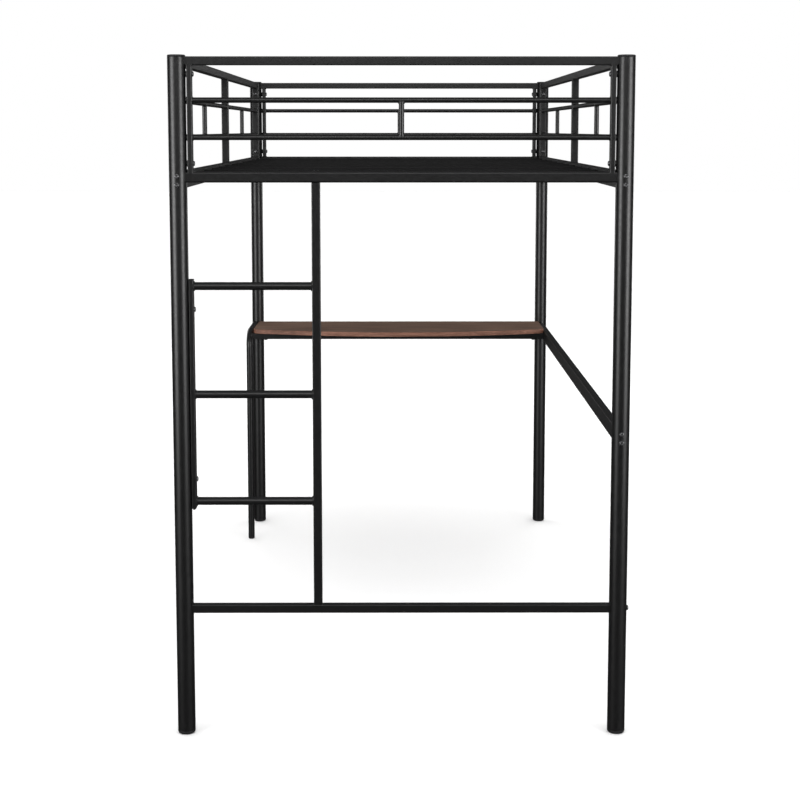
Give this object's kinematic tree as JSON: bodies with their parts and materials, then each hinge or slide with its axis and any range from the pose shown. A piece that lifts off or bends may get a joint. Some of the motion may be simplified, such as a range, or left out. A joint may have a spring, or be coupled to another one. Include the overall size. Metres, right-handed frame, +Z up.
{
  "type": "loft bed with desk",
  "caption": "Black metal twin loft bed with guard rails all round, a ladder at the foot end and a wood desk with a bowed front under the head end.",
  "frame": {"origin": "on the floor, in the middle of the four posts", "axes": "+Z up; -Y is the foot end with the ladder, +Y the head end with the desk; +X is on the right of someone facing the foot end"},
  "size_m": [1.0811, 1.9902, 1.616],
  "materials": {
    "steel_tube": "satin black powder coat on welded steel tube",
    "slat": "satin black powder coat on thin steel tube",
    "fastener": "black oxide button-head bolts",
    "plastic": "moulded black plastic, fine grain",
    "desk_board": "dark walnut-coloured board with a redder edge band, satin"
  },
  "bodies": {
    "root": {"post_foot_left": "steel_tube", "post_cap_foot_left": "plastic", "post_glide_foot_left": "plastic", "post_foot_right": "steel_tube", "post_cap_foot_right": "plastic", "post_glide_foot_right": "plastic", "post_head_left": "steel_tube", "post_cap_head_left": "plastic", "post_glide_head_left": "plastic", "post_head_right": "steel_tube", "post_cap_head_right": "plastic", "post_glide_head_right": "plastic", "foot_end_panel": "steel_tube", "head_end_panel": "steel_tube", "left_side_frame": "steel_tube", "right_side_frame": "steel_tube", "slat_01": "slat", "slat_02": "slat", "slat_03": "slat", "slat_04": "slat", "slat_05": "slat", "slat_06": "slat", "slat_07": "slat", "slat_08": "slat", "slat_09": "slat", "slat_10": "slat", "slat_11": "slat", "slat_12": "slat", "ladder": "steel_tube", "lower_rail": "steel_tube", "desk_board": "desk_board", "desk_frame": "steel_tube", "desk_side_rail": "steel_tube", "desk_leg_glide": "plastic", "left_side_frame_bolts_foot": "fastener", "left_side_frame_bolts_head": "fastener", "right_side_frame_bolts_foot": "fastener", "right_side_frame_bolts_head": "fastener", "desk_side_rail_bolts_foot": "fastener", "desk_side_rail_bolts_head": "fastener", "foot_panel_bolts_left": "fastener", "left_guard_bolts_foot": "fastener", "foot_panel_bolts_right": "fastener", "right_guard_bolts_foot": "fastener", "head_panel_bolts_left": "fastener", "left_guard_bolts_head": "fastener", "head_panel_bolts_right": "fastener", "right_guard_bolts_head": "fastener", "ladder_bolt_lower": "fastener", "ladder_bolt_upper": "fastener", "lower_rail_bolt": "fastener", "desk_frame_bolt_front": "fastener", "desk_frame_bolt_back": "fastener", "desk_leg_bolt": "fastener", "board_screw_front_left": "fastener", "board_screw_front_right": "fastener", "board_screw_back_left": "fastener", "board_screw_back_right": "fastener"}
  },
  "joints": []
}
